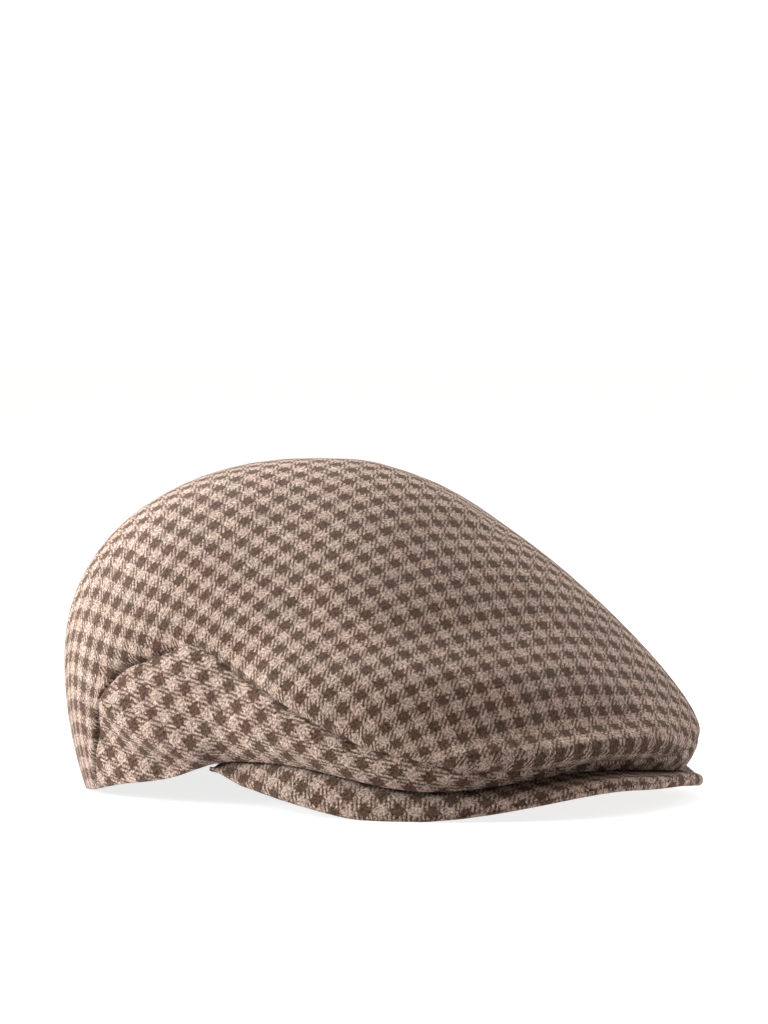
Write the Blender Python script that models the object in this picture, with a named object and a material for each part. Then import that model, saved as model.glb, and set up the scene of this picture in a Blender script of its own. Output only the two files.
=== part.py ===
"""Flat cap in four pieces: the long middle panel, two side panels and the peak.

Metres, +Z up. The cap stands on z = 0 with its front towards -Y. Its right side, as worn, is towards -X.
The crown is one surface round an upright axis through its highest point. A point on it is given by an azimuth
(0 at the front, 90 at the wearer's right, 180 at the back) and a station (0 at the top, RIM where the crown is
widest, 1 at the hem). The tables below give the sections in millimetres, and a smooth curve runs through the rows.
"""

import math

import bmesh
import bpy
import numpy as np

MM = 0.001

# Driving sizes, in millimetres
CROWN_HEIGHT = 122.0
CLOTH = 2.0
PEAK_THICKNESS = 4.5
SEAM_GAP = 0.3
PEAK_CLEARANCE = 0.35
AXIS_TO_FRONT = 156.0
AXIS_TO_BACK = 94.0

# The share of a section's stations that lies above its widest point
RIM = 0.7
# Roundness of a domed section, and how soon a sloping section leaves its flat top
DOME_POWER = 0.45
SLOPE_SOFTNESS = 0.45

# reach: axis to the widest point; rim: height of that point; slope: 1 for a straight run down to the rim, 0 for a
# dome, below 0 for a boxier dome; tuck: how far the hem lies inside the rim
CROWN_COLUMNS = ("azimuth", "reach", "rim", "slope", "tuck")
CROWN_SECTIONS = (
    (0, 147.0, 24.5, 0.95, 9.0),
    (30, 142.0, 23.5, 0.80, 6.0),
    (60, 112.5, 32.0, 0.42, 10.0),
    (90, 107.0, 38.0, 0.09, 8.0),
    (120, 103.5, 47.5, -0.05, 8.0),
    (150, 95.0, 49.5, -0.22, 10.0),
    (180, 94.0, 50.5, -0.30, 10.0),
)

# The lower edge of the crown: on the peak at the front, arched over the ear, flat on the table at the back
HEM_COLUMNS = ("azimuth", "height")
HEM = (
    (0, 14.5),
    (16, 12.0),
    (30, 10.5),
    (45, 16.5),
    (58, 17.5),
    (68, 15.5),
    (78, 10.0),
    (92, 6.0),
    (106, 2.0),
    (120, 0.0),
    (150, 0.0),
    (180, 0.0),
)

# The seam round a side panel, from the hem at the back, up, and forward to the middle of the front
SEAM_COLUMNS = ("azimuth", "station")
SEAM = (
    (105.0, 1.000),
    (100.0, 0.870),
    (95.5, 0.735),
    (91.0, 0.655),
    (83.0, 0.612),
    (72.0, 0.556),
    (60.0, 0.585),
    (46.0, 0.632),
    (34.0, 0.715),
    (24.0, 0.815),
    (12.0, 0.870),
    (0.0, 0.875),
)
SEAM_CORNER = 3

# The peak's top face, at its inner edge under the crown and at its free edge. In between it passes under the hem.
PEAK_COLUMNS = ("azimuth", "inner", "inner_height", "edge", "edge_height")
PEAK_SECTIONS = (
    (0, 104.0, 17.5, 156.0, 12.7),
    (15, 103.0, 15.5, 152.0, 8.4),
    (30, 101.0, 14.0, 143.0, 3.4),
    (38, 99.0, 16.0, 135.0, 3.2),
    (45, 97.5, 18.0, 127.0, 6.0),
    (52, 95.5, 19.0, 118.0, 9.2),
    (60, 92.5, 18.0, 108.0, 12.5),
    (70, 89.0, 16.0, 101.5, 13.0),
)

# Folds of the right side, as pushed out (+) or in (-): from, by way of and to, with half width and height
FOLD_COLUMNS = ("azimuth_1", "station_1", "azimuth_2", "station_2", "azimuth_3", "station_3", "width", "height")
FOLDS = {
    "corner_pucker": (93.0, 0.67, 86.0, 0.63, 78.0, 0.58, 5.0, -2.4),
    "panel_ridge": (92.0, 0.72, 80.0, 0.82, 70.0, 0.93, 6.0, 2.2),
    "panel_hollow": (94.0, 0.84, 86.0, 0.90, 78.0, 0.95, 7.0, -2.0),
    "top_crease": (-4.0, 0.19, -18.0, 0.20, -34.0, 0.22, 7.0, -1.2),
    "top_flat": (-70.0, 0.14, -50.0, 0.17, -40.0, 0.21, 12.0, -1.2),
}
SEAM_VALLEY = {"width": 7.0, "height": -1.3}

COLOURS = {"cloth": (0.30, 0.22, 0.17), "peak": (0.26, 0.19, 0.15)}
CLOTH_ROUGHNESS = 0.92

# Faces along and across each piece
TOP_RINGS = 13
SEAM_FACES = 18
BACK_FACES = 8
PANEL_ROWS = 6
PEAK_FACES_EACH_SIDE = 12
PEAK_ROWS = 10


def ring_curve(rows, columns, name):
    """A smooth closed curve, the same on both sides of the cap, through one column of a table by azimuth."""
    at = columns.index(name)
    angles = [row[0] for row in rows]
    values = [row[at] for row in rows]
    knots = np.array([-a for a in reversed(angles[1:-1])] + angles, float)
    levels = np.array(values[1:-1][::-1] + values, float)
    steps = np.diff(np.append(knots, knots[0] + 360.0))
    count = len(knots)
    system = np.zeros((count, count))
    pull = np.zeros(count)
    for i in range(count):
        before, after = i - 1, (i + 1) % count
        system[i, before] += steps[before] / 6
        system[i, i] += (steps[before] + steps[i]) / 3
        system[i, after] += steps[i] / 6
        rise = (levels[after] - levels[i]) / steps[i]
        pull[i] = rise - (levels[i] - levels[before]) / steps[before]
    bends = np.linalg.solve(system, pull)

    def value(azimuth):
        turn = np.mod(np.asarray(azimuth, float) - knots[0], 360.0) + knots[0]
        i = np.searchsorted(knots, turn, side="right") - 1
        j = (i + 1) % count
        left = turn - knots[i]
        right = steps[i] - left
        curve = (bends[i] * right**3 + bends[j] * left**3) / (6 * steps[i])
        line_i = (levels[i] / steps[i] - bends[i] * steps[i] / 6) * right
        line_j = (levels[j] / steps[i] - bends[j] * steps[i] / 6) * left
        return curve + line_i + line_j

    return value


def path_through(points, count):
    """Points spaced along a smooth open path (Catmull-Rom) through the given rows."""
    rows = np.array(points, float)
    padded = np.vstack([2 * rows[0] - rows[1], rows, 2 * rows[-1] - rows[-2]])
    found = []
    for step in np.linspace(0, len(rows) - 1, count):
        i = min(int(step), len(rows) - 2)
        f = step - i
        a, b, c, d = padded[i : i + 4]
        slope_in, slope_out = (c - a) / 2, (d - b) / 2
        found.append(
            (2 * f**3 - 3 * f**2 + 1) * b
            + (f**3 - 2 * f**2 + f) * slope_in
            + (3 * f**2 - 2 * f**3) * c
            + (f**3 - f**2) * slope_out
        )
    return np.array(found)


REACH, RIM_HEIGHT, SLOPE, TUCK = (
    ring_curve(CROWN_SECTIONS, CROWN_COLUMNS, name) for name in CROWN_COLUMNS[1:]
)
HEM_HEIGHT = ring_curve(HEM, HEM_COLUMNS, "height")


def frame_point(radius, azimuth, height):
    """Metres in the part's frame, from millimetres round the crown's axis."""
    turn = np.radians(azimuth)
    forward = radius * np.cos(turn) - (AXIS_TO_FRONT - AXIS_TO_BACK) / 2
    right = radius * np.sin(turn)
    return np.stack([-right, -forward, height], axis=-1) * MM


def plain_crown(azimuth, station):
    """The crown's outer surface without its folds."""
    azimuth, station = np.broadcast_arrays(np.asarray(azimuth, float), np.asarray(station, float))
    reach, rim = REACH(azimuth), RIM_HEIGHT(azimuth)
    hem = np.maximum(HEM_HEIGHT(azimuth), 0.0)
    angle = np.clip(station / RIM, 0, 1) * math.pi / 2
    share = np.sin(angle)
    soft = SLOPE_SOFTNESS
    sloping = 1 - (np.sqrt(share**2 + soft**2) - soft) / (math.sqrt(1 + soft**2) - soft)
    domed = np.clip(np.cos(angle), 0, 1) ** (2 * DOME_POWER)
    slope = SLOPE(azimuth)
    above = rim + (CROWN_HEIGHT - rim) * (slope * sloping + (1 - slope) * domed)
    below = np.clip((station - RIM) / (1 - RIM), 0, 1)
    upper = station <= RIM
    radius = np.where(upper, reach * share, reach - TUCK(azimuth) * below**2)
    height = np.where(upper, above, rim - (rim - hem) * below)
    return frame_point(radius, azimuth, height)


def plain_normal(azimuth, station):
    """The outward direction of the plain surface, from points a little to each side."""
    step_a, step_s = 0.5, 0.004
    station = np.clip(station, 0.02, 1 - step_s)
    round_way = plain_crown(azimuth + step_a, station) - plain_crown(azimuth - step_a, station)
    down_way = plain_crown(azimuth, station + step_s) - plain_crown(azimuth, station - step_s)
    normal = np.cross(round_way, down_way)
    length = np.linalg.norm(normal, axis=-1, keepdims=True)
    return normal / np.maximum(length, 1e-12)


def distance_to_path(points, path):
    """Metres from each point to a path of straight pieces."""
    best = np.full(points.shape[:-1], np.inf)
    for start, end in zip(path[:-1], path[1:]):
        run = end - start
        share = np.clip(((points - start) @ run) / (run @ run), 0, 1)
        gap = np.linalg.norm(points - (start + share[..., None] * run), axis=-1)
        best = np.minimum(best, gap)
    return best


def fold_paths():
    """Each fold's path over the plain crown, with its half width and height in metres."""
    paths = []
    for row in FOLDS.values():
        through = path_through([row[0:2], row[2:4], row[4:6]], 7)
        paths.append((plain_crown(through[:, 0], through[:, 1]), row[6] * MM, row[7] * MM))
    seam = path_through(SEAM, 40)
    for side in (1, -1):
        line = plain_crown(side * seam[:, 0], seam[:, 1])
        paths.append((line, SEAM_VALLEY["width"] * MM, SEAM_VALLEY["height"] * MM))
    return paths


FOLD_PATHS = fold_paths()


def crown(azimuth, station, depth=0.0):
    """The crown's surface with its folds, pushed inwards by depth (mm)."""
    azimuth, station = np.broadcast_arrays(np.asarray(azimuth, float), np.asarray(station, float))
    points = plain_crown(azimuth, station)
    push = np.zeros(points.shape[:-1])
    for path, width, height in FOLD_PATHS:
        push += height * np.exp(-((distance_to_path(points, path) / width) ** 2))
    push *= np.clip((1 - station) / 0.12, 0, 1)
    moved = points + plain_normal(azimuth, station) * (push - depth * MM)[..., None]
    hem = np.maximum(HEM_HEIGHT(azimuth), 0.0) * MM
    moved[..., 2] = np.where(station >= 1, np.maximum(hem, points[..., 2]), moved[..., 2])
    moved[..., 2] = np.maximum(moved[..., 2], hem * np.clip((station - RIM) / (1 - RIM), 0, 1))
    return moved


def seam_inset(azimuth, station, towards_azimuth, towards_station, gap):
    """Moves a seam point along the surface by a gap (mm) towards another point."""
    here = plain_crown(azimuth, station)
    there = plain_crown(towards_azimuth, towards_station)
    share = gap * MM / np.maximum(np.linalg.norm(there - here, axis=-1), 1e-9)
    share = np.minimum(share, 1.0)
    return azimuth + (towards_azimuth - azimuth) * share, station + (towards_station - station) * share


def collection_for(name):
    made = bpy.data.collections.new(name)
    bpy.context.scene.collection.children.link(made)
    return made


def material_for(name, colour, roughness):
    made = bpy.data.materials.new(name)
    made.use_nodes = True
    shader = made.node_tree.nodes["Principled BSDF"]
    shader.inputs["Base Color"].default_value = (*colour, 1)
    shader.inputs["Roughness"].default_value = roughness
    shader.inputs["Metallic"].default_value = 0
    return made


def shell_object(name, outer, inner, collection, material, round_apex=False):
    """One closed piece from its outer and inner grids. With round_apex, the first row of each grid is one point and
    the columns run all the way round it."""
    rows, columns = outer.shape[:2]
    work = bmesh.new()
    front, back = (
        [[work.verts.new(grid[i, j]) for j in range(columns)] for i in range(int(round_apex), rows)]
        for grid in (outer, inner)
    )
    last = len(front) - 1
    wrap = columns if round_apex else columns - 1
    for i in range(last):
        for j in range(wrap):
            k = (j + 1) % columns
            work.faces.new((front[i][j], front[i + 1][j], front[i + 1][k], front[i][k]))
            work.faces.new((back[i][j], back[i][k], back[i + 1][k], back[i + 1][j]))
    edge = [(last, j) for j in range(columns)]
    if round_apex:
        for ring, grid in ((front, outer), (back, inner)):
            apex = work.verts.new(grid[0, 0])
            for j in range(columns):
                work.faces.new((ring[0][j], ring[0][(j + 1) % columns], apex))
    else:
        edge += [(i, columns - 1) for i in range(last - 1, -1, -1)]
        edge += [(0, j) for j in range(columns - 2, -1, -1)]
        edge += [(i, 0) for i in range(1, last)]
    for (i, j), (k, m) in zip(edge, edge[1:] + edge[:1]):
        work.faces.new((front[i][j], front[k][m], back[k][m], back[i][j]))
    bmesh.ops.recalc_face_normals(work, faces=work.faces)
    mesh = bpy.data.meshes.new(name)
    work.to_mesh(mesh)
    work.free()
    mesh.shade_smooth()
    mesh.set_sharp_from_angle(angle=math.radians(50))
    mesh.materials.append(material)
    made = bpy.data.objects.new(name, mesh)
    collection.objects.link(made)
    return made


def top_outline():
    """(azimuth, station) round the middle panel, from the middle of the front by the right side to the back."""
    front = path_through(SEAM[SEAM_CORNER:][::-1], SEAM_FACES + 1)
    corner = path_through(SEAM[: SEAM_CORNER + 1][::-1], PANEL_ROWS + 1)
    azimuths = np.linspace(SEAM[0][0], 180.0, BACK_FACES + 1)
    back = np.stack([azimuths, np.ones(len(azimuths))], axis=-1)
    right = np.vstack([front, corner[1:], back[1:]])
    inset = right.copy()
    seam = len(front) + len(corner) - 1
    inset[:seam, 0], inset[:seam, 1] = seam_inset(
        right[:seam, 0], right[:seam, 1], right[:seam, 0], right[:seam, 1] - 0.1, SEAM_GAP / 2
    )
    steep = slice(len(front) - 1, seam)
    inset[steep, 0], inset[steep, 1] = seam_inset(
        right[steep, 0], right[steep, 1], right[steep, 0] + 6.0, right[steep, 1], SEAM_GAP / 2
    )
    left = inset[-2:0:-1].copy()
    left[:, 0] = 360.0 - left[:, 0]
    return np.vstack([inset, left])


def build_crown_top(collection, material):
    outline = top_outline()
    shares = np.linspace(0, 1, TOP_RINGS + 1)[:, None]
    azimuths = np.repeat(outline[None, :, 0], TOP_RINGS + 1, axis=0)
    stations = shares * outline[None, :, 1]
    outer, inner = (crown(azimuths, stations, depth) for depth in (0.0, CLOTH))
    for grid in (outer, inner):
        grid[0] = grid[0].mean(axis=0)
    return shell_object("crown_top", outer, inner, collection, material, round_apex=True)


def build_side_panel(name, side, collection, material):
    """side is 1 for the wearer's right and -1 for the left."""
    top = path_through(SEAM[SEAM_CORNER:], SEAM_FACES + 1)
    back = path_through(SEAM[: SEAM_CORNER + 1], PANEL_ROWS + 1)
    count = len(top)
    along = np.linspace(0, 1, count)
    hem = np.stack([SEAM[0][0] * (1 - along), np.ones(count)], axis=-1)
    front = np.linspace(hem[-1], top[-1], PANEL_ROWS + 1)
    grid = np.zeros((PANEL_ROWS + 1, count, 2))
    for i in range(PANEL_ROWS + 1):
        up = i / PANEL_ROWS
        for j in range(count):
            ruled = (1 - up) * hem[j] + up * top[j] + (1 - along[j]) * back[i] + along[j] * front[i]
            corners = (1 - up) * ((1 - along[j]) * hem[0] + along[j] * hem[-1])
            corners = corners + up * ((1 - along[j]) * top[0] + along[j] * top[-1])
            grid[i, j] = ruled - corners
    azimuths, stations = grid[..., 0].copy(), grid[..., 1].copy()
    azimuths[-1], stations[-1] = seam_inset(
        grid[-1, :, 0], grid[-1, :, 1], grid[-2, :, 0], grid[-2, :, 1], SEAM_GAP / 2
    )
    azimuths[:, 0], stations[:, 0] = seam_inset(
        azimuths[:, 0], stations[:, 0], azimuths[:, 0] - 6.0, stations[:, 0], SEAM_GAP / 2
    )
    azimuths[:, -1] = math.degrees(SEAM_GAP / 2 / REACH(0.0))
    outer, inner = (crown(side * azimuths, stations, depth) for depth in (0.0, CLOTH))
    return shell_object(name, outer, inner, collection, material)


def peak_curve(name):
    """One column of the peak's table as a curve by azimuth, held level past the peak's ends."""
    behind = (180,) + PEAK_SECTIONS[-1][1:]
    return ring_curve(PEAK_SECTIONS + (behind,), PEAK_COLUMNS, name)


def peak_section(azimuth):
    """Radius and height along the peak's top face at one azimuth, inner edge first."""
    inner, inner_height, edge, edge_height = (peak_curve(name)(azimuth) for name in PEAK_COLUMNS[1:])
    seat = REACH(azimuth) - TUCK(azimuth) - CLOTH
    seat_height = HEM_HEIGHT(azimuth) - PEAK_CLEARANCE
    return path_through([(inner, inner_height), (seat, seat_height), (edge, edge_height)], PEAK_ROWS + 1)


def build_peak(collection, material):
    last = SEAM[0][0] / SEAM_FACES * PEAK_FACES_EACH_SIDE
    azimuths = np.linspace(-last, last, PEAK_FACES_EACH_SIDE * 2 + 1)
    top, bottom = [], []
    for azimuth in azimuths:
        section = peak_section(azimuth)
        run = np.gradient(section, axis=0)
        length = np.hypot(run[:, 0], run[:, 1])
        taper = np.clip((last - abs(azimuth)) / 8.0, 0.35, 1.0)
        down = np.stack([run[:, 1], -run[:, 0]], axis=-1) / length[:, None] * PEAK_THICKNESS * taper
        under = section + down
        under[:, 1] = np.maximum(under[:, 1], 0.0)
        top.append(frame_point(section[:, 0], azimuth, section[:, 1]))
        bottom.append(frame_point(under[:, 0], azimuth, under[:, 1]))
    return shell_object("peak", np.array(top), np.array(bottom), collection, material)


def main():
    for old in list(bpy.data.objects):
        bpy.data.objects.remove(old, do_unlink=True)
    cap = collection_for("flat_cap")
    cloth = {
        name: material_for(name + "_cloth", COLOURS["cloth"], CLOTH_ROUGHNESS)
        for name in ("crown_top", "side_panel_right", "side_panel_left")
    }
    build_crown_top(cap, cloth["crown_top"])
    build_side_panel("side_panel_right", 1, cap, cloth["side_panel_right"])
    build_side_panel("side_panel_left", -1, cap, cloth["side_panel_left"])
    build_peak(cap, material_for("peak_cloth", COLOURS["peak"], CLOTH_ROUGHNESS))


main()
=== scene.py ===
"""The dressed flat cap: houndstooth wool panels with turned seams, soft folds and a covered peak.

Metres, +Z up, in the frame of the solids. Lengths in the tables are millimetres. The crown is one surface
round an upright axis. A point on it has an azimuth, 0 at the front and 90 at the wearer's right, and a
station, 0 at the top, RIM where the crown is widest and 1 at the hem.
"""

import math

import bmesh
import bpy
import numpy as np
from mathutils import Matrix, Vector


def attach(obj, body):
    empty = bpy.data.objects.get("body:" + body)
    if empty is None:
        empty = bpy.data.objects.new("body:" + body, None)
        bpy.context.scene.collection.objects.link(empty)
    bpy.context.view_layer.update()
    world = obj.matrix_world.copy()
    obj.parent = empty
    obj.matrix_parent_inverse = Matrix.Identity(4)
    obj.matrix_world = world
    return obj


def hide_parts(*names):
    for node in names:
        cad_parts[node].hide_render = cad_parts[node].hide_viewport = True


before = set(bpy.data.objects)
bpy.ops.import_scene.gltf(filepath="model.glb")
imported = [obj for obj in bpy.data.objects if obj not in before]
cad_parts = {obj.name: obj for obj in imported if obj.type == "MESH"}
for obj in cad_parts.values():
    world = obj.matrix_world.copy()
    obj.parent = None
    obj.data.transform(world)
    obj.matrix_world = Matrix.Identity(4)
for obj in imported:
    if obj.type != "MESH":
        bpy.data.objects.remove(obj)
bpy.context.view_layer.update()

MM = 0.001

CROWN_HEIGHT = 122.0
CLOTH = 2.0
# How far the middle of the cap lies in front of the crown's axis
AXIS_TO_MIDDLE = 31.0
RIM = 0.7
# Above the rim the crown mixes a dome with a straight slope. This is the dome's power, and how round the
# slope starts at the top.
DOME_POWER = 0.45
SLOPE_SOFTNESS = 0.45

# The crown's sections: how far out and how high its widest line lies, the share of straight slope above
# it, and how far the wall draws in below
CROWN_COLUMNS = ("azimuth", "reach", "rim", "slope", "tuck")
CROWN_SECTIONS = (
    (0, 147.0, 24.5, 0.95, 9.0),
    (30, 142.0, 23.5, 0.80, 6.0),
    (60, 112.5, 32.0, 0.42, 10.0),
    (90, 107.0, 38.0, 0.09, 8.0),
    (120, 103.5, 47.5, -0.05, 8.0),
    (150, 95.0, 49.5, -0.22, 10.0),
    (180, 94.0, 50.5, -0.30, 10.0),
)

HEM_COLUMNS = ("azimuth", "height")
HEM = (
    (0, 14.5),
    (16, 12.0),
    (30, 10.5),
    (45, 16.5),
    (58, 17.5),
    (68, 15.5),
    (78, 10.0),
    (92, 6.0),
    (106, 2.0),
    (120, 0.0),
    (150, 0.0),
    (180, 0.0),
)

# The seam between the middle panel and a side panel, as (azimuth, station), from the hem at the back to
# the middle of the front
SEAM = (
    (105.0, 1.000),
    (100.0, 0.870),
    (95.5, 0.735),
    (91.0, 0.655),
    (83.0, 0.612),
    (72.0, 0.556),
    (60.0, 0.585),
    (46.0, 0.632),
    (34.0, 0.715),
    (24.0, 0.815),
    (12.0, 0.900),
    (0.0, 0.925),
)
# The row of SEAM where the panel's back edge turns into its top edge
SEAM_CORNER = 3

# The peak's sections: its sewn edge under the crown and its free edge
PEAK_COLUMNS = ("azimuth", "inner", "inner_height", "edge", "edge_height")
PEAK_SECTIONS = (
    (0, 104.0, 17.5, 156.0, 12.7),
    (15, 103.0, 15.5, 152.0, 8.4),
    (30, 101.0, 14.0, 143.0, 3.4),
    (38, 99.0, 16.0, 135.0, 3.2),
    (45, 97.5, 18.0, 127.0, 6.0),
    (52, 95.5, 19.0, 118.0, 9.2),
    (60, 92.5, 18.0, 108.0, 12.5),
    (70, 89.0, 16.0, 98.5, 14.8),
)
PEAK_END = 68.5
PEAK_THICKNESS = 4.5
# How far below the hem the peak's top passes
PEAK_CLEARANCE = 1.0
# The peak thins towards its tips, over so many degrees, down to a share of its thickness
PEAK_TAPER = {"over": 8.0, "least": 0.35}
# How high the top meets the rounded edge, as a share of the round's radius above the table's edge height
PEAK_EDGE_LIFT = 0.1
FLOOR_GAP = 0.05
# The peak's left end is raised: where that starts and ends (degrees left of the front), and how far
PEAK_CURL = {"starts": 3.0, "ends": 22.0, "height": 4.0}

# Folds pushed out (+) or in (-): three points of the path as (azimuth, station), half width and height
FOLDS = {
    "corner_pucker": ((93.0, 0.67), (86.0, 0.63), (78.0, 0.58), 5.0, -2.4),
    "panel_ridge": ((92.0, 0.72), (81.0, 0.81), (70.0, 0.91), 6.0, 3.1),
    "panel_hollow": ((95.0, 0.86), (87.0, 0.92), (79.0, 0.97), 7.5, -3.2),
    "top_crease": ((-4.0, 0.19), (-18.0, 0.20), (-34.0, 0.22), 7.0, -1.2),
    "top_flat": ((-70.0, 0.14), (-50.0, 0.17), (-40.0, 0.21), 12.0, -1.2),
    "shoulder_hollow": ((48.0, 0.39), (30.0, 0.37), (2.0, 0.34), 9.0, -1.0),
    "shoulder_ridge": ((52.0, 0.57), (29.0, 0.47), (-4.0, 0.44), 12.0, 2.1),
    "front_hollow": ((38.0, 0.66), (22.0, 0.61), (-6.0, 0.54), 8.0, -1.8),
    "front_ridge": ((24.0, 0.77), (8.0, 0.71), (-13.0, 0.64), 6.5, 2.5),
}
FOLD_STEPS = np.linspace(0, 2, 7)
# A turned seam: a narrow groove between two soft rolls, with small puckers across it
SEAM_VALLEY = {"width": 5.5, "height": -0.8}
SEAM_GROOVE = {"width": 0.9, "height": -1.1}
SEAM_ROLL = {"offset": 2.8, "width": 2.2, "height": 0.25}
PUCKER = {"reach": 6.0, "height": 0.15, "spacing": 7.0, "flat_beside_seam": 1.5}
# How the puckers' spacing and height wander along the seam: how much, and how often to a pucker
PUCKER_SPACING = {"sway": 1.7, "pace": 0.37}
PUCKER_HEIGHT = {"sway": 0.4, "pace": 0.23, "start": 1.0}
# How strong the soft form and the groove are at each row of SEAM: thin behind, a crease at the corner
SEAM_DEPTH = (0.3, 0.3, 0.6, 1.4, 1.0, 0.4, 0.6, 0.6, 0.7, 0.9, 0.9, 0.9)
GROOVE_DEPTH = (1.7, 1.7, 1.9, 2.6, 2.2, 0.7, 1.5, 1.3, 1.1, 1.1, 1.1, 1.1)
# The share of the way from the top to the hem over which folds and seams fade out at the hem
FOLD_FADE = 0.07
SEAM_FADE = 0.02

# The cloth: repeat of the check and how many yarns make it up
CHECK = 8.6
YARNS = 16

# The photograph's camera: degrees, metres, lens and where the crown's axis at mid height lands (pixels)
CAMERA = {"azimuth": -41.3, "elevation": 4.4, "distance": 1.886, "lens": 175.6}
CAMERA_TARGET = (0.0, 0.031, 0.0521)
TARGET_PIXEL = (336.0, 644.0)
PICTURE = (768, 1024)
SENSOR = 36.0


def ring_curve(rows, columns, name):
    """A smooth closed curve by azimuth through one column of a table, the same on the cap's two sides."""
    at = columns.index(name)
    angles = [row[0] for row in rows]
    values = [row[at] for row in rows]
    knots = np.array([-a for a in reversed(angles[1:-1])] + angles, float)
    levels = np.array(values[1:-1][::-1] + values, float)
    steps = np.diff(np.append(knots, knots[0] + 360.0))
    count = len(knots)
    system = np.zeros((count, count))
    pull = np.zeros(count)
    for i in range(count):
        before, after = i - 1, (i + 1) % count
        system[i, before] += steps[before] / 6
        system[i, i] += (steps[before] + steps[i]) / 3
        system[i, after] += steps[i] / 6
        rise = (levels[after] - levels[i]) / steps[i]
        pull[i] = rise - (levels[i] - levels[before]) / steps[before]
    bends = np.linalg.solve(system, pull)

    def value(azimuth):
        turn = np.mod(np.asarray(azimuth, float) - knots[0], 360.0) + knots[0]
        i = np.searchsorted(knots, turn, side="right") - 1
        j = (i + 1) % count
        left = turn - knots[i]
        right = steps[i] - left
        curve = (bends[i] * right**3 + bends[j] * left**3) / (6 * steps[i])
        line_i = (levels[i] / steps[i] - bends[i] * steps[i] / 6) * right
        line_j = (levels[j] / steps[i] - bends[j] * steps[i] / 6) * left
        return curve + line_i + line_j

    return value


REACH, RIM_HEIGHT, SLOPE, TUCK = (
    ring_curve(CROWN_SECTIONS, CROWN_COLUMNS, name) for name in CROWN_COLUMNS[1:]
)
HEM_HEIGHT = ring_curve(HEM, HEM_COLUMNS, "height")


def along_path(points, steps):
    """Points of a smooth open path through rows, at steps from 0 to the last row's number."""
    rows = np.array(points, float)
    padded = np.concatenate([2 * rows[:1] - rows[1:2], rows, 2 * rows[-1:] - rows[-2:-1]])
    steps = np.asarray(steps, float)
    i = np.clip(steps.astype(int), 0, len(rows) - 2)
    f = (steps - i).reshape(steps.shape + (1,) * (rows.ndim - 1))
    a, b, c, d = (padded[i + k] for k in range(4))
    return (
        (2 * f**3 - 3 * f**2 + 1) * b
        + (f**3 - 2 * f**2 + f) * (c - a) / 2
        + (3 * f**2 - 2 * f**3) * c
        + (f**3 - f**2) * (d - b) / 2
    )


def frame_point(radius, azimuth, height):
    """Metres in the frame, from millimetres round the crown's axis."""
    turn = np.radians(azimuth)
    forward = radius * np.cos(turn) - AXIS_TO_MIDDLE
    right = radius * np.sin(turn)
    return np.stack([-right, -forward, height + 0 * right], axis=-1) * MM


def plain_crown(azimuth, station):
    """The crown's outer surface without its folds."""
    azimuth, station = np.broadcast_arrays(np.asarray(azimuth, float), np.asarray(station, float))
    reach, rim = REACH(azimuth), RIM_HEIGHT(azimuth)
    hem = np.maximum(HEM_HEIGHT(azimuth), 0.0)
    angle = np.clip(station / RIM, 0, 1) * math.pi / 2
    share = np.sin(angle)
    soft = SLOPE_SOFTNESS
    sloping = 1 - (np.sqrt(share**2 + soft**2) - soft) / (math.sqrt(1 + soft**2) - soft)
    domed = np.clip(np.cos(angle), 0, 1) ** (2 * DOME_POWER)
    slope = SLOPE(azimuth)
    above = rim + (CROWN_HEIGHT - rim) * (slope * sloping + (1 - slope) * domed)
    below = np.clip((station - RIM) / (1 - RIM), 0, 1)
    upper = station <= RIM
    radius = np.where(upper, reach * share, reach - TUCK(azimuth) * below**2)
    height = np.where(upper, above, rim - (rim - hem) * below)
    return frame_point(radius, azimuth, height)


def plain_normal(azimuth, station):
    """The outward direction of the plain surface, from points a little to each side."""
    step_a, step_s, nearest_top = 0.5, 0.004, 0.02
    station = np.clip(station, nearest_top, 1 - step_s)
    round_way = plain_crown(azimuth + step_a, station) - plain_crown(azimuth - step_a, station)
    down_way = plain_crown(azimuth, station + step_s) - plain_crown(azimuth, station - step_s)
    normal = np.cross(round_way, down_way)
    length = np.linalg.norm(normal, axis=-1, keepdims=True)
    return normal / np.maximum(length, 1e-12)


def near_path(points, path):
    """Metres from each point to a path of straight pieces, and how far along it the nearest point lies."""
    best = np.full(points.shape[:-1], np.inf)
    where = np.zeros(points.shape[:-1])
    passed = 0.0
    for start, end in zip(path[:-1], path[1:]):
        run = end - start
        length = np.linalg.norm(run)
        share = np.clip(((points - start) @ run) / length**2, 0, 1)
        gap = np.linalg.norm(points - (start + share[..., None] * run), axis=-1)
        closer = gap < best
        best = np.where(closer, gap, best)
        where = np.where(closer, passed + share * length, where)
        passed += length
    return best, where


def bump(distance, width):
    return np.exp(-((distance / (width * MM)) ** 2))


def fold_push(points):
    """How far (metres) the cloth stands out of the plain crown at each point."""
    push = np.zeros(points.shape[:-1])
    for start, middle, end, width, height in FOLDS.values():
        through = along_path([start, middle, end], FOLD_STEPS)
        distance, _ = near_path(points, plain_crown(through[:, 0], through[:, 1]))
        push += height * MM * bump(distance, width)
    return push


SEAM_STEPS = np.linspace(0, len(SEAM) - 1, 90)


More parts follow.
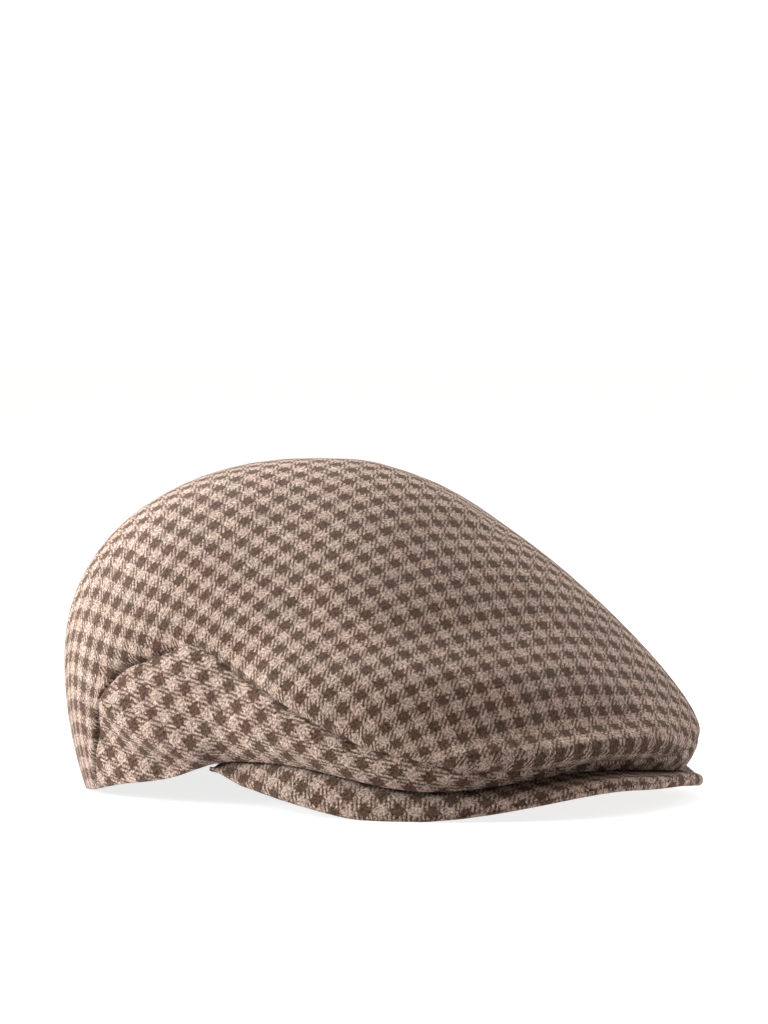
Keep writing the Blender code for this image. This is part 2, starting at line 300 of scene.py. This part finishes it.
def seam_push(points):
    """The turned seams and their puckers, as metres out of the surface."""
    push = np.zeros(points.shape[:-1])
    line = along_path(SEAM, SEAM_STEPS)
    depths, grooves = along_path(SEAM_DEPTH, SEAM_STEPS), along_path(GROOVE_DEPTH, SEAM_STEPS)
    for side in (1, -1):
        path = plain_crown(side * line[:, 0], line[:, 1])
        passed = np.append(0.0, np.cumsum(np.linalg.norm(np.diff(path, axis=0), axis=1)))
        distance, along = near_path(points, path)
        form = SEAM_VALLEY["height"] * bump(distance, SEAM_VALLEY["width"])
        form += SEAM_ROLL["height"] * bump(distance - SEAM_ROLL["offset"] * MM, SEAM_ROLL["width"])
        turn = along / (PUCKER["spacing"] * MM) * 2 * math.pi
        sway, high = PUCKER_SPACING["sway"], PUCKER_HEIGHT["sway"]
        uneven = 1 - high + high * np.sin(turn * PUCKER_HEIGHT["pace"] + PUCKER_HEIGHT["start"])
        ripple = np.sin(turn + sway * np.sin(turn * PUCKER_SPACING["pace"] + side)) * uneven
        beside = bump(distance, PUCKER["reach"]) * (1 - bump(distance, PUCKER["flat_beside_seam"]))
        form += PUCKER["height"] * ripple * beside
        push += form * MM * np.interp(along, passed, depths)
        groove = SEAM_GROOVE["height"] * bump(distance, SEAM_GROOVE["width"])
        push += groove * MM * np.interp(along, passed, grooves)
    return push


def crown(azimuth, station, depth=0.0):
    """The crown's surface with its folds and seams, pushed inwards by depth (mm)."""
    azimuth, station = np.broadcast_arrays(np.asarray(azimuth, float), np.asarray(station, float))
    points = plain_crown(azimuth, station)
    to_hem = 1 - station
    push = fold_push(points) * np.clip(to_hem / FOLD_FADE, 0, 1)
    push += seam_push(points) * np.clip(to_hem / SEAM_FADE, 0, 1)
    moved = points + plain_normal(azimuth, station) * (push - depth * MM)[..., None]
    hem = np.maximum(HEM_HEIGHT(azimuth), 0.0) * MM
    moved[..., 2] = np.maximum(moved[..., 2], hem * np.clip((station - RIM) / (1 - RIM), 0, 1))
    return moved


# Laying the panels out flat, so that the check follows the cloth


# A flat pattern is found in so many rounds of placing points and turning triangles
FLATTEN_ROUNDS = 21
# The least pull between two neighbours, and a hold on every point that keeps the pattern in one place
LEAST_PULL = 0.02
POINT_HOLD = 1e-7


def grid_triangles(rows, columns, wrap):
    """Triangles of a grid of points, as rows of three point numbers."""
    found = []
    for i in range(rows - 1):
        for j in range(columns if wrap else columns - 1):
            k = (j + 1) % columns
            a, b = i * columns + j, i * columns + k
            c, d = b + columns, a + columns
            found += [(a, d, c), (a, c, b)]
    return np.array(found)


def unit(vectors):
    return vectors / np.maximum(np.linalg.norm(vectors, axis=-1, keepdims=True), 1e-9)


def along_surface(normal, axis):
    """The direction in the surface that comes nearest to an axis."""
    axis = np.array(axis, float)
    return unit(axis - normal * (normal @ axis)[:, None])


def flatten(points, guide, loose, wrap=False):
    """Lays a grid of surface points (metres) out flat, with one set of yarns along the guide's directions.

    guide and loose take the triangles' normals. A loose share above 0 lets a triangle turn in the plane to
    fit its neighbours, which lessens the stretch.
    """
    rows, columns = points.shape[:2]
    triangles = grid_triangles(rows, columns, wrap)
    if wrap:
        triangles = np.where(triangles < columns, 0, triangles)
        a, b, c = triangles.T
        triangles = triangles[(a != b) & (b != c) & (c != a)]
    corner = points.reshape(-1, 3)[triangles]
    normal = np.cross(corner[:, 2] - corner[:, 0], corner[:, 1] - corner[:, 0])
    area = np.linalg.norm(normal, axis=1, keepdims=True)
    normal /= area
    first = guide(normal)
    second = np.cross(normal, first)
    share = loose(normal)
    rest = np.stack([(corner * first[:, None]).sum(-1), (corner * second[:, None]).sum(-1)], axis=-1)
    count = rows * columns
    system = np.zeros((count, count))
    pairs = []
    for k in range(3):
        p, q = (k + 1) % 3, (k + 2) % 3
        to_p, to_q = rest[:, p] - rest[:, k], rest[:, q] - rest[:, k]
        weight = np.maximum((to_p * to_q).sum(1) / area[:, 0], LEAST_PULL)
        i, j = triangles[:, p], triangles[:, q]
        for here, there, sign in ((i, i, 1), (j, j, 1), (i, j, -1), (j, i, -1)):
            np.add.at(system, (here, there), sign * weight)
        pairs.append((i, j, weight, rest[:, p] - rest[:, q]))
    used = np.zeros(count, bool)
    used[triangles] = True
    system[~used, ~used] = 1.0
    system[np.arange(count), np.arange(count)] += POINT_HOLD
    inverse = np.linalg.inv(system)
    cosine, sine = np.ones(len(triangles)), np.zeros(len(triangles))
    for _ in range(FLATTEN_ROUNDS):
        pull = np.zeros((count, 2))
        for i, j, weight, edge in pairs:
            turned_x = cosine * edge[:, 0] - sine * edge[:, 1]
            turned_y = sine * edge[:, 0] + cosine * edge[:, 1]
            turned = np.stack([turned_x, turned_y], 1)
            np.add.at(pull, i, weight[:, None] * turned)
            np.add.at(pull, j, -weight[:, None] * turned)
        flat = inverse @ pull
        along, across = 0.0, 0.0
        for i, j, weight, edge in pairs:
            now = flat[i] - flat[j]
            along += weight * (now * edge).sum(1)
            across += weight * (edge[:, 0] * now[:, 1] - edge[:, 1] * now[:, 0])
        turn = share * np.arctan2(across, along)
        cosine, sine = np.cos(turn), np.sin(turn)
    if wrap:
        flat[:columns] = flat[0]
    return flat.reshape(rows, columns, 2)


def finer(coarse, rows, columns, wrap=False):
    """A smooth reading of a coarse grid at fractional rows and columns."""
    if wrap:
        coarse = np.concatenate([coarse[:, -2:], coarse, coarse[:, :3]], axis=1)
        columns = columns + 2
    down = along_path(coarse, rows)
    across = along_path(np.swapaxes(down, 0, 1), columns)
    return np.swapaxes(across, 0, 1)


TOP_GRAIN = {"turn": 0.0, "ease": 1.09}
PANEL_GRAIN = {
    "side_panel_right": {"turn": 57.7, "ease": 1.0},
    "side_panel_left": {"turn": -57.7, "ease": 1.0},
}
PEAK_GRAIN = {"turn": 0.0, "ease": 1.0}


def cloth_place(flat, grain):
    """Turns flat coordinates (mm) and counts them in yarns."""
    turn = math.radians(grain["turn"])
    across = flat[..., 0] * math.cos(turn) - flat[..., 1] * math.sin(turn)
    along = flat[..., 0] * math.sin(turn) + flat[..., 1] * math.cos(turn)
    return np.stack([across, along], axis=-1) * grain["ease"] * YARNS / CHECK


# Meshes


def shell(name, outer, inner, cloth_outer, cloth_inner, round_apex=False, edge_round=0.0):
    """One closed piece from its outer and inner grids and the cloth coordinates of each (mm)."""
    rows, columns = outer.shape[:2]
    work = bmesh.new()
    cloth = work.loops.layers.uv.new("cloth")
    flat = {}

    def ring(grid, flat_grid, i):
        made = [work.verts.new(grid[i, j]) for j in range(columns)]
        for vertex, place in zip(made, flat_grid[i]):
            flat[vertex] = place
        return made

    first = int(round_apex)
    front = [ring(outer, cloth_outer, i) for i in range(first, rows)]
    back = [ring(inner, cloth_inner, i) for i in range(first, rows)]
    last = len(front) - 1
    for i in range(last):
        for j in range(columns if round_apex else columns - 1):
            k = (j + 1) % columns
            work.faces.new((front[i][j], front[i + 1][j], front[i + 1][k], front[i][k]))
            work.faces.new((back[i][j], back[i][k], back[i + 1][k], back[i + 1][j]))
    edge = [(last, j) for j in range(columns)]
    if round_apex:
        for rings, grid, flat_grid in ((front, outer, cloth_outer), (back, inner, cloth_inner)):
            apex = work.verts.new(grid[0, 0])
            flat[apex] = flat_grid[0, 0]
            for j in range(columns):
                work.faces.new((rings[0][j], rings[0][(j + 1) % columns], apex))
    else:
        edge += [(i, columns - 1) for i in range(last - 1, -1, -1)]
        edge += [(0, j) for j in range(columns - 2, -1, -1)]
        edge += [(i, 0) for i in range(1, last)]
    middle = {}
    for i, j in edge:
        a, b = front[i][j], back[i][j]
        if round_apex or i == last:
            beside = front[i - 1][j]
        elif i == 0:
            beside = front[1][j]
        else:
            beside = front[i][j - 1] if j else front[i][1]
        out = a.co - beside.co
        out = out.normalized() * edge_round * MM if out.length > 0 else Vector((0, 0, 0))
        place = (a.co + b.co) / 2 + out
        place.z = max(place.z, 0.0)
        middle[i, j] = work.verts.new(place)
        flat[middle[i, j]] = (np.array(flat[a]) + np.array(flat[b])) / 2
    for here, there in zip(edge, edge[1:] + edge[:1]):
        (i, j), (k, m) = here, there
        work.faces.new((front[i][j], front[k][m], middle[there], middle[here]))
        work.faces.new((middle[here], middle[there], back[k][m], back[i][j]))
    bmesh.ops.recalc_face_normals(work, faces=work.faces)
    for face in work.faces:
        face.smooth = True
        for loop in face.loops:
            loop[cloth].uv = flat[loop.vert]
    mesh = bpy.data.meshes.new(name)
    work.to_mesh(mesh)
    work.free()
    made = bpy.data.objects.new(name, mesh)
    bpy.context.scene.collection.objects.link(made)
    return made


FRONT_STEPS = 18
CORNER_STEPS = 6
BACK_STEPS = 8
TOP_RINGS = 72
TOP_DETAIL = 6
COARSE_RINGS = 20
# How strongly the rings crowd towards the seam, and the side panels' columns towards the back
RING_CROWDING = 1.5
COLUMN_CROWDING = 1.35
# How far the turned edge of a panel stands out, so that two panels meet in a soft round
EDGE_ROUND = 0.6


def top_outline(detail):
    """(azimuth, station) round the middle panel, from the middle of the front and first to the right."""
    last = len(SEAM) - 1
    front = along_path(SEAM, np.linspace(last, SEAM_CORNER, FRONT_STEPS * detail + 1))
    corner = along_path(SEAM, np.linspace(SEAM_CORNER, 0, CORNER_STEPS * detail + 1))
    azimuths = np.linspace(SEAM[0][0], 180.0, BACK_STEPS * detail + 1)
    back = np.stack([azimuths, np.ones(len(azimuths))], axis=-1)
    right = np.vstack([front, corner[1:], back[1:]])
    left = right[-2:0:-1].copy()
    left[:, 0] = 360.0 - left[:, 0]
    return np.vstack([right, left])


# Where the crown's side walls begin, by how far they face sideways, and how many degrees the check dips
# on them
WALL = {"starts": 0.65, "ends": 0.9, "dip": 15.0}
# Where the back of the crown begins, by how far it faces backwards
BACK = {"starts": 0.35, "ends": 0.6}


def smooth_step(value, row):
    share = np.clip((value - row["starts"]) / (row["ends"] - row["starts"]), 0, 1)
    return share * share * (3 - 2 * share)


def top_guide(normal):
    """The yarns across the top lie square to its front-to-back planes, and climb the side walls."""
    back = np.cross(normal, along_surface(normal, (1, 0, 0)))
    side = np.sign(normal[:, :1])
    dip = math.radians(WALL["dip"])
    level = along_surface(normal, (0, 1, 0))
    risen = math.cos(dip) * level + math.sin(dip) * side * np.cross(normal, level)
    share = smooth_step(np.abs(normal[:, :1]), WALL)
    return np.cross(unit((1 - share) * back + share * risen), normal)


def top_loose(normal):
    return smooth_step(normal[:, 1], BACK)


def top_cloth():
    """The middle panel laid flat, as a coarse grid of cloth coordinates in metres (left, back)."""
    outline = top_outline(1)
    shares = np.linspace(0, 1, COARSE_RINGS + 1)
    azimuths = np.repeat(outline[None, :, 0], COARSE_RINGS + 1, axis=0)
    points = plain_crown(azimuths, shares[:, None] * outline[None, :, 1])
    points[0] = points[0].mean(axis=0)
    return flatten(points, top_guide, top_loose, wrap=True)


def build_crown_top(material):
    outline = top_outline(TOP_DETAIL)
    travel = np.linspace(0, 1, TOP_RINGS + 1)
    shares = 1 - (1 - travel) ** RING_CROWDING
    azimuths = np.repeat(outline[None, :, 0], TOP_RINGS + 1, axis=0)
    stations = shares[:, None] * outline[None, :, 1]
    outer, inner = (crown(azimuths, stations, depth) for depth in (0.0, CLOTH))
    for grid in (outer, inner):
        grid[0] = grid[0].mean(axis=0)
    columns = np.arange(len(outline)) / TOP_DETAIL
    flat = finer(top_cloth(), shares * COARSE_RINGS, columns, wrap=True) / MM
    flat = cloth_place(flat, TOP_GRAIN)
    made = shell("crown_top_cloth", outer, inner, flat, flat, round_apex=True, edge_round=EDGE_ROUND)
    made.data.materials.append(material)
    return made


PANEL_ROWS = 44
PANEL_COLUMNS = 150
COARSE_ROWS = 10
COARSE_COLUMNS = 36


def panel_places(up, along):
    """(azimuth, station) in a side panel, from shares up from the hem and along from the back seam."""
    last = len(SEAM) - 1
    top = along_path(SEAM, SEAM_CORNER + along * (last - SEAM_CORNER))
    back = along_path(SEAM, up * SEAM_CORNER)
    hem = np.stack([SEAM[0][0] * (1 - along), np.ones(len(along))], axis=-1)
    front = hem[-1] + (top[-1] - hem[-1]) * up[:, None]
    u, a = up[:, None, None], along[None, :, None]
    ruled = (1 - u) * hem[None] + u * top[None] + (1 - a) * back[:, None] + a * front[:, None]
    low = (1 - a) * hem[0] + a * hem[-1]
    high = (1 - a) * top[0] + a * top[-1]
    return ruled - (1 - u) * low - u * high


def panel_cloth():
    """A side panel laid flat, as a coarse grid of cloth coordinates in metres (up, back)."""
    grid = panel_places(np.linspace(0, 1, COARSE_ROWS + 1), np.linspace(0, 1, COARSE_COLUMNS + 1))
    points = plain_crown(grid[..., 0], grid[..., 1])
    return flatten(points, lambda normal: along_surface(normal, (0, 0, 1)), lambda normal: 1.0)


def build_side_panel(name, side, material):
    """side is 1 for the wearer's right and -1 for the left."""
    up = 0.5 - 0.5 * np.cos(np.linspace(0, math.pi, PANEL_ROWS + 1))
    along = np.linspace(0, 1, PANEL_COLUMNS + 1) ** COLUMN_CROWDING
    grid = panel_places(up, along)
    outer, inner = (crown(side * grid[..., 0], grid[..., 1], depth) for depth in (0.0, CLOTH))
    flat = finer(panel_cloth(), up * COARSE_ROWS, along * COARSE_COLUMNS) / MM
    flat[..., 1] *= side
    flat = cloth_place(flat, PANEL_GRAIN[name])
    made = shell(name + "_cloth", outer, inner, flat, flat, edge_round=EDGE_ROUND)
    made.data.materials.append(material)
    return made


PEAK_FACES_ALONG = 180
PEAK_TOP_FACES = 22
PEAK_ROUND_FACES = 8
PEAK_COARSE_ROWS = 3
PEAK_COARSE_COLUMNS = 5


def peak_curve(name):
    """One column of the peak's table as a curve by azimuth, held level past the peak's ends."""
    behind = (180,) + PEAK_SECTIONS[-1][1:]
    return ring_curve(PEAK_SECTIONS + (behind,), PEAK_COLUMNS, name)


def peak_grids():
    """The peak's azimuths, and its top and underside as (radius, height) grids that meet at its edge."""
    azimuths = np.linspace(-PEAK_END, PEAK_END, PEAK_FACES_ALONG + 1)
    inner, inner_height, edge, edge_height = (peak_curve(name)(azimuths) for name in PEAK_COLUMNS[1:])
    edge_height = edge_height + PEAK_CURL["height"] * smooth_step(-azimuths, PEAK_CURL)
    seat = REACH(azimuths) - TUCK(azimuths) - CLOTH
    seat_height = HEM_HEIGHT(azimuths) - PEAK_CLEARANCE
    to_tip = PEAK_END - np.abs(azimuths)
    thickness = PEAK_THICKNESS * np.clip(to_tip / PEAK_TAPER["over"], PEAK_TAPER["least"], 1.0)
    radius = thickness / 2
    lip = (edge - radius, edge_height + radius * PEAK_EDGE_LIFT)
    control = np.array([(inner, inner_height), (seat, seat_height), lip])
    top = along_path(np.moveaxis(control, 1, -1), np.linspace(0, 2, PEAK_TOP_FACES + 1))
    run = np.gradient(top, axis=0)
    run /= np.linalg.norm(run, axis=-1, keepdims=True)
    down = np.stack([run[..., 1], -run[..., 0]], axis=-1)
    under = top + down * thickness[None, :, None]
    centre = (top[-1] + under[-1]) / 2
    turns = np.linspace(0, math.pi, PEAK_ROUND_FACES * 2 + 1)[1:-1]
    up_way, out_way = -down[-1] * radius[:, None], run[-1] * radius[:, None]
    rim = [centre + up_way * math.cos(t) + out_way * math.sin(t) for t in turns]
    middle = len(rim) // 2
    over = np.concatenate([top, np.array(rim[: middle + 1])])
    below = np.concatenate([under, np.array(rim[middle:][::-1])])
    below[..., 1] = np.maximum(below[..., 1], FLOOR_GAP)
    over[..., 1] = np.maximum(over[..., 1], FLOOR_GAP)
    return azimuths, over, below


def build_peak(material):
    azimuths, over, below = peak_grids()
    outer = frame_point(over[..., 0], azimuths[None], over[..., 1])
    inner = frame_point(below[..., 0], azimuths[None], below[..., 1])
    coarse = outer[::PEAK_COARSE_ROWS, ::PEAK_COARSE_COLUMNS]
    flat = flatten(coarse, lambda normal: along_surface(normal, (1, 0, 0)), lambda normal: 1.0)
    rows, columns = np.arange(len(over)), np.arange(len(azimuths))
    flat = finer(flat, rows / PEAK_COARSE_ROWS, columns / PEAK_COARSE_COLUMNS) / MM
    flat = cloth_place(flat, PEAK_GRAIN)
    made = shell("peak_cloth", outer, inner, flat, cloth_place(inner[..., :2] / MM, PEAK_GRAIN))
    made.data.materials.append(material)
    return made


# Cloth material


class Nodes:
    """Short calls for building a shader."""

    def __init__(self, material):
        self.tree = material.node_tree

    def add(self, kind, inputs=(), **settings):
        node = self.tree.nodes.new(kind)
        for name, value in settings.items():
            setattr(node, name, value)
        for place, value in dict(inputs).items():
            if isinstance(value, bpy.types.NodeSocket):
                self.tree.links.new(value, node.inputs[place])
            else:
                node.inputs[place].default_value = value
        return node

    def math(self, operation, *values):
        return self.add("ShaderNodeMath", enumerate(values), operation=operation).outputs[0]

    def noise(self, vector, scale, detail=2.0, roughness=0.5):
        inputs = {"Vector": vector, "Scale": scale, "Detail": detail, "Roughness": roughness}
        return self.add("ShaderNodeTexNoise", inputs, noise_dimensions="3D")

    def spots(self, vector, name):
        """One of the cloth's noises, as a value."""
        return self.noise(vector, *CLOTH_NOISES[name]).outputs[0]

    def mix(self, share, a, b, blend="MIX"):
        node = self.add("ShaderNodeMix", data_type="RGBA", blend_type=blend)
        for place, value in ((0, share), (6, a), (7, b)):
            if isinstance(value, bpy.types.NodeSocket):
                self.tree.links.new(value, node.inputs[place])
            else:
                node.inputs[place].default_value = value
        return node.outputs[2]

    def level(self, value, low, high, to_low=0.0, to_high=1.0):
        inputs = {"Value": value, "From Min": low, "From Max": high, "To Min": to_low, "To Max": to_high}
        return self.add("ShaderNodeMapRange", inputs, interpolation_type="SMOOTHSTEP").outputs[0]


# Noises over the cloth: scale in spots to a yarn, detail and roughness
CLOTH_NOISES = {
    "wander": (1.1, 4.0, 0.85),
    "fibres": (0.6, 3.0, 0.8),
    "specks": (0.22, 3.0, 0.75),
    "patches": (0.02, 3.0, 0.55),
    "hues": (0.035, 2.0, 0.5),
    "wool": (0.9, 4.0, 0.75),
}
# The noise's low and high levels, and the shares of the yarn's colour that they give
FIBRE_TONES = (0.36, 0.64, 0.22, 1.72)
SPECK_TONES = (0.36, 0.64, 0.84, 1.16)
PATCH_TONES = (0.3, 0.7, 0.93, 1.07)
# The noise's levels between which a yarn goes from its one colour to the other
LIGHT_HUES = (0.35, 0.65)
DARK_HUES = (0.42, 0.58)
# Relief: the shares of the yarns' round and of the fuzz, its strength and its depth in metres
YARN_RELIEF = 0.4
WOOL_RELIEF = 1.6
RELIEF_STRENGTH = 0.6
RELIEF_DEPTH = 0.0006
# The noise's low and high levels, and the roughness that they give
ROUGHNESS = (0.2, 0.8, 0.82, 0.98)
NAP = {
    "Specular IOR Level": 0.12,
    "Sheen Weight": 0.05,
    "Sheen Roughness": 0.5,
    "Sheen Tint": (0.95, 0.9, 0.87, 1),
}
# Wool colours (linear)
LIGHT_YARN = (0.396, 0.275, 0.220, 1)
GREY_YARN = (0.380, 0.273, 0.220, 1)
DARK_YARN = (0.091, 0.044, 0.029, 1)
OLIVE_YARN = (0.083, 0.046, 0.028, 1)
# How far loose fibres stray over their noise's whole range, and the twill's repeat, both in yarns
FIBRE_SPREAD = 6.0
TWILL = 4.0
# Painted shade: the peak's copy of the cloth is made a little darker, as the peak looks darker in the
# photograph
PEAK_PAINTED_SHADE = 0.95


def cloth_material(name, painted_shade=1.0, twill_turn=1.0):
    """Houndstooth: warp and weft in bands of dark and light yarns, woven two over and two under.

    twill_turn is 1 or -1, for the way in which the weave's steps climb.
    """
    made = bpy.data.materials.new(name)
    made.use_nodes = True
    n = Nodes(made)
    shader = made.node_tree.nodes["Principled BSDF"]
    place = n.add("ShaderNodeUVMap", uv_map="cloth").outputs[0]

    # Loose fibres carry each yarn's colour a little way over its neighbours
    wander = n.noise(place, *CLOTH_NOISES["wander"]).outputs["Color"]
    centred = n.add("ShaderNodeVectorMath", {0: wander, 1: (0.5, 0.5, 0.5)}, operation="SUBTRACT")
    scaled = {0: centred.outputs[0], "Scale": FIBRE_SPREAD}
    spread = n.add("ShaderNodeVectorMath", scaled, operation="SCALE")
    fuzzy = n.add("ShaderNodeVectorMath", {0: place, 1: spread.outputs[0]}, operation="ADD").outputs[0]
    split = n.add("ShaderNodeSeparateXYZ", {0: fuzzy})
    warp_at, weft_at = split.outputs[0], split.outputs[1]
    warp, weft = n.math("FLOOR", warp_at), n.math("FLOOR", weft_at)
    warp_dark = n.math("LESS_THAN", n.math("FLOORED_MODULO", warp, YARNS), YARNS / 2)
    weft_dark = n.math("LESS_THAN", n.math("FLOORED_MODULO", weft, YARNS), YARNS / 2)
    order = n.math("MULTIPLY_ADD", weft, twill_turn, warp)
    over = n.math("LESS_THAN", n.math("FLOORED_MODULO", order, TWILL), TWILL / 2)
    under = n.math("SUBTRACT", 1.0, over)
    dark = n.math("ADD", n.math("MULTIPLY", over, warp_dark), n.math("MULTIPLY", under, weft_dark))

    # Melange: single fibres lighter and darker than their yarn, and slow changes over the panel
    fibres, specks = n.spots(place, "fibres"), n.spots(place, "specks")
    patches, hues = n.spots(place, "patches"), n.spots(place, "hues")
    light = n.mix(n.level(hues, *LIGHT_HUES), LIGHT_YARN, GREY_YARN)
    deep = n.mix(n.level(hues, *DARK_HUES), DARK_YARN, OLIVE_YARN)
    colour = n.mix(dark, light, deep)
    fibre_tone, speck_tone = n.level(fibres, *FIBRE_TONES), n.level(specks, *SPECK_TONES)
    low, high, darker, lighter = PATCH_TONES
    # Painted shade: this factor darkens the whole copy of the cloth
    patch_tone = n.level(patches, low, high, darker * painted_shade, lighter * painted_shade)
    tone = n.math("MULTIPLY", n.math("MULTIPLY", fibre_tone, speck_tone), patch_tone)
    grey = n.add("ShaderNodeCombineColor", {0: tone, 1: tone, 2: tone}).outputs[0]
    colour = n.mix(1.0, colour, grey, "MULTIPLY")
    n.tree.links.new(colour, shader.inputs["Base Color"])

    # Relief: the round of each yarn and the fuzz over it
    cross_warp = n.math("SINE", n.math("MULTIPLY", n.math("FRACT", warp_at), math.pi))
    cross_weft = n.math("SINE", n.math("MULTIPLY", n.math("FRACT", weft_at), math.pi))
    yarns = n.math("ADD", n.math("MULTIPLY", over, cross_warp), n.math("MULTIPLY", under, cross_weft))
    fuzz = n.math("MULTIPLY", n.spots(place, "wool"), WOOL_RELIEF)
    height = n.math("MULTIPLY_ADD", yarns, YARN_RELIEF, fuzz)
    relief = {"Height": height, "Strength": RELIEF_STRENGTH, "Distance": RELIEF_DEPTH}
    bumped = n.add("ShaderNodeBump", relief)
    n.tree.links.new(bumped.outputs[0], shader.inputs["Normal"])
    n.tree.links.new(n.level(fibres, *ROUGHNESS), shader.inputs["Roughness"])
    for socket, value in NAP.items():
        shader.inputs[socket].default_value = value
    return made


# Studio


FLOOR_LOW = (0.26, 0.26, 0.26, 1)
FLOOR_HIGH = (0.28, 0.28, 0.28, 1)
FLOOR_GLOW = 0.80
FLOOR_HALF = 6.0
WHITE = (1, 1, 1, 1)
# The room's brightness behind the cap and on the camera's own side, and between which two levels of a
# direction's cosine to the camera's level view it changes
ROOM = {"behind": 1.05, "camera_side": 0.13, "starts": -0.6, "ends": 0.45}
# The room's colour on the camera's side
ROOM_SHADE = (1.0, 0.86, 0.74, 1)
# Softboxes: degrees round from the camera and above the floor, metres away and across, watts and tint
LIGHT_COLUMNS = ("name", "from_camera", "height", "distance", "size", "power", "tint")
COOL = (0.90, 0.98, 1.0)
NEUTRAL = (1.0, 0.94, 0.87)
LIGHTS = (
    ("left", -85.0, 18.0, 1.5, 1.0, 60.0, COOL),
    ("back_left", -150.0, 45.0, 1.7, 1.0, 44.0, COOL),
    ("back_right", 125.0, 15.0, 1.6, 1.0, 20.0, COOL),
    ("top", 0.0, 80.0, 1.6, 1.2, 7.0, NEUTRAL),
)


def floor_material():
    """A table that gives off a little light of its own, so that it stays white up to the horizon."""
    made = bpy.data.materials.new("floor_paint")
    made.use_nodes = True
    n = Nodes(made)
    shader = made.node_tree.nodes["Principled BSDF"]
    place = n.add("ShaderNodeTexCoord").outputs["Object"]
    grain = n.noise(place, 3.0, 2.0).outputs[0]
    n.tree.links.new(n.mix(grain, FLOOR_LOW, FLOOR_HIGH), shader.inputs["Base Color"])
    shader.inputs["Roughness"].default_value = 0.9
    shader.inputs["Specular IOR Level"].default_value = 0.1
    shader.inputs["Emission Color"].default_value = WHITE
    shader.inputs["Emission Strength"].default_value = FLOOR_GLOW
    return made


def build_floor():
    size = FLOOR_HALF
    mesh = bpy.data.meshes.new("floor")
    corners = [(-size, -size, 0), (size, -size, 0), (size, size, 0), (-size, size, 0)]
    mesh.from_pydata(corners, [], [(0, 1, 2, 3)])
    floor = bpy.data.objects.new("floor", mesh)
    bpy.context.scene.collection.objects.link(floor)
    mesh.materials.append(floor_material())


def direction(azimuth, elevation):
    a, e = math.radians(azimuth), math.radians(elevation)
    return Vector((math.sin(a) * math.cos(e), -math.cos(a) * math.cos(e), math.sin(e)))


def build_studio():
    world = bpy.data.worlds.new("studio")
    world.use_nodes = True
    n = Nodes(world)
    looking = n.add("ShaderNodeTexCoord").outputs["Generated"]
    behind_cap = -direction(CAMERA["azimuth"], 0.0)
    facing = n.add("ShaderNodeVectorMath", {0: looking, 1: behind_cap}, operation="DOT_PRODUCT")
    cosine = facing.outputs["Value"]
    strength = n.level(cosine, ROOM["starts"], ROOM["ends"], ROOM["camera_side"], ROOM["behind"])
    background = world.node_tree.nodes["Background"]
    tint = n.mix(n.level(cosine, ROOM["starts"], ROOM["ends"]), ROOM_SHADE, WHITE)
    n.tree.links.new(tint, background.inputs["Color"])
    n.tree.links.new(strength, background.inputs["Strength"])
    scene = bpy.context.scene
    scene.world = world
    scene.view_settings.view_transform = "Standard"
    target = Vector(CAMERA_TARGET)
    for values in LIGHTS:
        light = dict(zip(LIGHT_COLUMNS, values))
        data = bpy.data.lights.new(light["name"], "AREA")
        data.size = light["size"]
        data.energy = light["power"]
        data.color = light["tint"]
        lamp = bpy.data.objects.new(light["name"], data)
        away = direction(CAMERA["azimuth"] + light["from_camera"], light["height"])
        lamp.location = target + away * light["distance"]
        lamp.rotation_euler = away.to_track_quat("Z", "Y").to_euler()
        scene.collection.objects.link(lamp)


def build_camera():
    data = bpy.data.cameras.new("camera")
    data.lens = CAMERA["lens"]
    data.sensor_width = SENSOR
    camera = bpy.data.objects.new("camera", data)
    back = direction(CAMERA["azimuth"], CAMERA["elevation"])
    right = Vector((0, 0, 1)).cross(back).normalized()
    up = back.cross(right)
    metres_per_pixel = CAMERA["distance"] * SENSOR / CAMERA["lens"] / PICTURE[1]
    aim = Vector(CAMERA_TARGET)
    aim += right * (PICTURE[0] / 2 - TARGET_PIXEL[0]) * metres_per_pixel
    aim += up * (TARGET_PIXEL[1] - PICTURE[1] / 2) * metres_per_pixel
    camera.location = Vector(CAMERA_TARGET) + back * CAMERA["distance"]
    camera.rotation_euler = (camera.location - aim).to_track_quat("Z", "Y").to_euler()
    bpy.context.scene.collection.objects.link(camera)
    bpy.context.scene.camera = camera


def main():
    pieces = {"crown_top": build_crown_top(cloth_material("crown_top_weave", twill_turn=-1.0))}
    for name, side in (("side_panel_right", 1), ("side_panel_left", -1)):
        pieces[name] = build_side_panel(name, side, cloth_material(name + "_weave"))
    # The peak's cloth carries painted shade: a darker copy of the same weave
    pieces["peak"] = build_peak(cloth_material("peak_weave", PEAK_PAINTED_SHADE, twill_turn=-1.0))
    for node, piece in pieces.items():
        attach(piece, "root")
        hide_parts(node)
    build_floor()
    build_studio()
    build_camera()


main()
